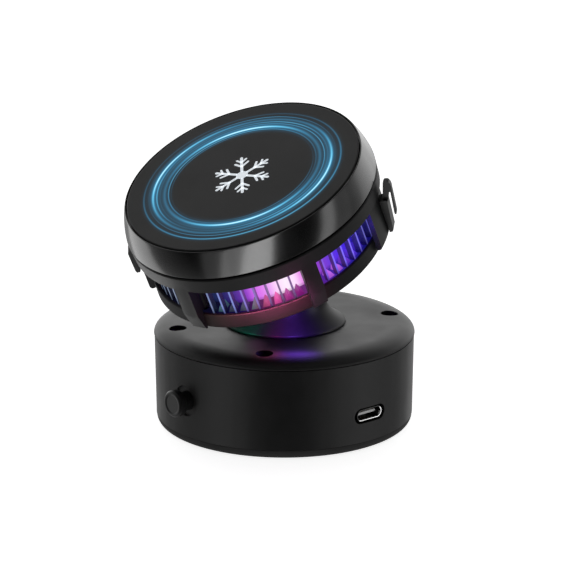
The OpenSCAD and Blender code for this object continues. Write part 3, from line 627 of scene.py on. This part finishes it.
def return_spring():
    """Round-wire return spring of the button, in mm along the button's own axis."""
    bm = bmesh.new()
    r, wire, z0, z1, turns, steps, sides = 2.3, 0.3, 26.15, 30.65, 4, 128, 12
    rings = []
    for i in range(steps + 1):
        t = i / steps
        a = 2 * math.pi * turns * t
        row = []
        for j in range(sides):
            b = 2 * math.pi * j / sides
            out = r + wire * math.cos(b)
            row.append(bm.verts.new((out * math.cos(a) * MM, out * math.sin(a) * MM, (z0 + (z1 - z0) * t + wire * math.sin(b)) * MM)))
        rings.append(row)
    for p, q in zip(rings, rings[1:]):
        for j in range(sides):
            k = (j + 1) % sides
            bm.faces.new((p[j], q[j], q[k], p[k]))
    bm.faces.new(rings[0])
    bm.faces.new(rings[-1][::-1])
    place = PANEL @ Matrix.Translation((0, 0, 12.9 * MM)) @ Matrix.Rotation(math.radians(90), 4, "X")
    o = piece("button_return_spring", bm, place, STEEL, "base")
    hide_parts("button_spring")
    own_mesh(o)
    return o


return_spring()

# ------------------------------------------------------------------ lamps of the head
def light(name, kind, energy, colour, location, size=0.002, body=None, aim=None):
    d = bpy.data.lights.new(name, kind)
    d.energy = energy
    d.color = colour
    if kind == "AREA":
        d.size = size
    else:
        d.shadow_soft_size = size
    o = bpy.data.objects.new(name, d)
    scene.collection.objects.link(o)
    o.location = location
    if aim is not None:
        o.rotation_euler = (Vector(aim) - Vector(location)).to_track_quat("-Z", "Y").to_euler()
    if body:
        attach(o, body)
    return o


for i in range(12):
    deg = 30 * i + 15
    a = math.radians(deg)
    lamp = light(f"lamp_{i}", "POINT", 0.0012, lamp_colour(deg), HOOK @ Vector((28.6 * MM * math.cos(a), 28.6 * MM * math.sin(a), 26.6 * MM)), 0.0015, "head")
    lamp.visible_camera = False

def linked(name, nodes):
    """Collection of nodes that a light is kept to."""
    c = bpy.data.collections.new(name)
    for n in nodes:
        c.objects.link(N[n])
    return c


RING = linked("ring_only", ["bezel_ring"])
BASE = linked("base_side", ["base_shell", "base_cover", "suction_pad"])
STEM = linked("button_only", ["power_button"])
INLET = linked("inlet_only", ["usb_c_shell", "usb_c_tongue"])
LEGS = linked("legs_only", ["rear_housing"])
NECK = linked("neck_only", ["neck_post"])
TOP = linked("cover_only", ["base_cover"])
RIM = linked("rim_only", ["rear_cover"])
CLIPS = linked("clips_only", ["hook_right", "hook_left"])

# light that leaks under the head: side offset and distance towards the front, height in mm, size in mm
for name, colour, energy, side, out, z, size, group in (
        ("leak_green", (0.05, 1.0, 0.62), 0.0070, -13.0, 15.0, 34.0, 3.0, NECK), ("leak_red", (1.0, 0.06, 0.42), 0.0055, -3.0, 19.5, 34.0, 2.0, NECK),
        ("leak_violet", (0.22, 0.06, 1.0), 0.0290, 3.5, 20.0, 34.0, 3.0, NECK), ("leak_side", (1.0, 1.0, 1.0), 0.0058, 22.0, 11.0, 34.0, 5.0, NECK),
        ("leak_top", (0.35, 0.10, 0.30), 0.0003, -8.0, 16.0, 32.0, 3.0, TOP),
        *[(f"leak_edge_{i}", (1.0, 0.12, 0.40) if i < 3 else (0.60, 0.08, 0.70) if i == 3 else (0.24, 0.06, 1.0), e, 2.0 * i - 7.0, 26.4, 31.5, 2.2, TOP)
          for i, e in enumerate((0.00007, 0.00010, 0.00014, 0.00023, 0.00036, 0.00050, 0.00052, 0.00038, 0.00018))]):
    leak = light(name, "POINT", energy, colour, Vector((0.688 * out + 0.725 * side, -0.725 * out + 0.688 * side, z)) * MM, size * MM, "head")
    leak.visible_camera = False
    leak.light_linking.receiver_collection = group
    leak.light_linking.blocker_collection = RING
for name, colour, energy, deg, r, z, group in (
        ("leak_leg", (1.0, 0.17, 0.60), 0.0030, 297, 40.5, 13.0, LEGS),
        ("leak_end", (0.07, 0.04, 1.0), 0.0022, 334, 32.6, 19.5, LEGS), ("leak_in", (1.0, 0.25, 0.70), 0.0004, 290, 30.5, 20.5, LEGS),
        *[(f"leak_rim_{i}", (1.0, g, 0.38), e, 250 + 6 * i, 37.5, 19.0, RIM)
          for i, (g, e) in enumerate(((0.6, 0.0004), (0.42, 0.0010), (0.26, 0.0024), (0.18, 0.0042), (0.14, 0.0052), (0.13, 0.0052), (0.13, 0.0054), (0.13, 0.0050), (0.13, 0.0030)))]):
    a = math.radians(deg)
    leak = light(name, "POINT", energy, colour, HOOK @ Vector((r * MM * math.cos(a), r * MM * math.sin(a), z * MM)), 0.002, "head")
    leak.visible_camera = False
    leak.light_linking.receiver_collection = group
    leak.light_linking.blocker_collection = RING

# ------------------------------------------------------------------ studio
# panels of the surround: azimuth, elevation, half widths, brightness
PANELS = [(-136, 14, 62, 20, 1.45), (-109, 48, 40, 24, 0.13), (43, 28, 80, 42, -0.24), (40, -18, 85, 40, -0.40)]
floor_bm = bmesh.new()
bmesh.ops.create_grid(floor_bm, x_segments=8, y_segments=8, size=4.0)
floor_me = bpy.data.meshes.new("studio_floor")
floor_bm.to_mesh(floor_me)
floor_bm.free()
floor = bpy.data.objects.new("studio_floor", floor_me)
scene.collection.objects.link(floor)
kf = Mat("studio_white")
cf = kf.coords()
kf.link(kf.mix(kf.remap(kf.noise(cf, 3.0, 2.0), 0.3, 0.7, 0, 1), (0.92, 0.92, 0.92), (0.94, 0.94, 0.94)), kf.p.inputs["Base Color"])
kf.set(Roughness=0.9, Specular_IOR_Level=0.1, Emission_Color=(1.0, 1.0, 1.0, 1.0), Emission_Strength=0.85)
floor_me.materials.append(kf.m)
floor.visible_glossy = False

world = bpy.data.worlds.new("studio")
scene.world = world
world.use_nodes = True


class Sky(Mat):
    """Studio surround, built from soft panels by direction."""

    def __init__(self, w):
        self.t = w.node_tree
        tc = self.node("ShaderNodeTexCoord")
        s = self.node("ShaderNodeSeparateXYZ")
        self.link(tc.outputs["Generated"], s.inputs[0])
        x, y, z = s.outputs
        self.az = self.math("MULTIPLY", self.math("ARCTAN2", x, self.math("MULTIPLY", y, -1.0)), 180 / math.pi)
        self.el = self.math("MULTIPLY", self.math("ARCSINE", z), 180 / math.pi)

    def panel(self, az, el, half_az, half_el, value):
        """Soft-edged panel centred on a direction, in degrees."""
        da = self.math("WRAP", self.math("SUBTRACT", self.az, az), 180.0, -180.0)
        u = self.math("DIVIDE", da, half_az)
        v = self.math("DIVIDE", self.math("SUBTRACT", self.el, el), half_el)
        q = self.math("ADD", self.math("MULTIPLY", u, u), self.math("MULTIPLY", v, v))
        return self.math("MULTIPLY", self.math("EXPONENT", self.math("MULTIPLY", self.math("MULTIPLY", q, q), -0.7)), value)


sky = Sky(world)
total = sky.remap(sky.el, -3.0, 6.0, 0.37, 0.30, smooth=True)
for az, el, ha, he, value in PANELS:
    total = sky.math("ADD", total, sky.panel(az, el, ha, he, value))
bg = world.node_tree.nodes["Background"]
bg.inputs["Color"].default_value = (1.0, 1.0, 1.0, 1.0)
sky.link(sky.math("MAXIMUM", total, 0.0), bg.inputs["Strength"])


def polar_point(azimuth, elevation, distance, centre=(0, 0, 0.04)):
    a, e = math.radians(azimuth), math.radians(elevation)
    return Vector(centre) + distance * Vector((math.sin(a) * math.cos(e), -math.cos(a) * math.cos(e), math.sin(e)))


# softboxes: azimuth, elevation, half widths and brightness; each serves the polished ring, the housing or the base
BOXES = [
    ("box_front", 45, -22, 12, 40, 2.4, RING), ("box_front_wide", 36, -22, 21, 40, 1.15, RING), ("box_front_low", 7, -24, 11, 40, 0.34, RING),
    ("box_house", 42, -26, 14, 26, 1.75, LEGS), ("box_rim", 42, -26, 14, 26, 1.25, RIM), ("house_left", -92, -22, 10, 32, 2.4, LEGS), ("hook_front", 6, -46, 22, 22, 1.3, CLIPS),
    ("box_left", -82, -22, 18, 32, 1.2, RING),
    ("box_right", 107, -6, 7, 34, 1.5, RING), ("box_right_low", 124, -8, 9, 34, 0.22, RING), ("box_back", 167, 0, 17, 30, 0.36, RING),
    ("base_left", -10, -17, 18, 24, 1.05, BASE), ("base_right", 106, -17, 24, 24, 0.85, BASE), ("base_far_left", -64, -17, 16, 24, 0.08, BASE),
    ("button_face", -62, -17, 16, 20, 0.50, STEM), ("inlet_rim", 125, -17, 12, 12, 1.6, INLET), ("inlet_low", 150, 46, 16, 16, 2.0, INLET),
    ("base_back_left", -118, -17, 20, 24, 0.45, BASE), ("base_back_right", -155, -17, 20, 24, 0.45, BASE),
]
for name, az, el, half_az, half_el, radiance, group in BOXES:
    dist = 0.6
    wide, tall = (2 * dist * math.tan(math.radians(h)) for h in (half_az, half_el))
    centre = (0, 0, 0.018) if group in (BASE, STEM, INLET) else (0, -0.014, 0.068)
    box = light(name, "AREA", radiance * math.pi * wide * tall, (1, 1, 1), polar_point(az, el, dist, centre), wide, aim=centre)
    box.data.shape = "RECTANGLE"
    box.data.size_y = tall
    box.visible_camera = False
    box.light_linking.receiver_collection = group
    box.light_linking.blocker_collection = BASE if group in (BASE, STEM) else RING

# ------------------------------------------------------------------ camera
AZ, EL, DIST = math.radians(43.5), math.radians(16.72), 1.0
target = Vector((0.00019 * math.cos(AZ), 0.00019 * math.sin(AZ), 0.03875))
cam_data = bpy.data.cameras.new("camera")
cam_data.sensor_fit = "HORIZONTAL"
cam_data.sensor_width = 36.0
cam_data.lens = 228.58
cam_data.clip_start, cam_data.clip_end = 0.05, 20.0
cam = bpy.data.objects.new("camera", cam_data)
scene.collection.objects.link(cam)
cam.location = target + DIST * Vector((math.sin(AZ) * math.cos(EL), -math.cos(AZ) * math.cos(EL), math.sin(EL)))
cam.rotation_euler = (target - cam.location).to_track_quat("-Z", "Y").to_euler()
scene.camera = cam
scene.view_settings.view_transform = "Standard"
scene.view_settings.look = "None"
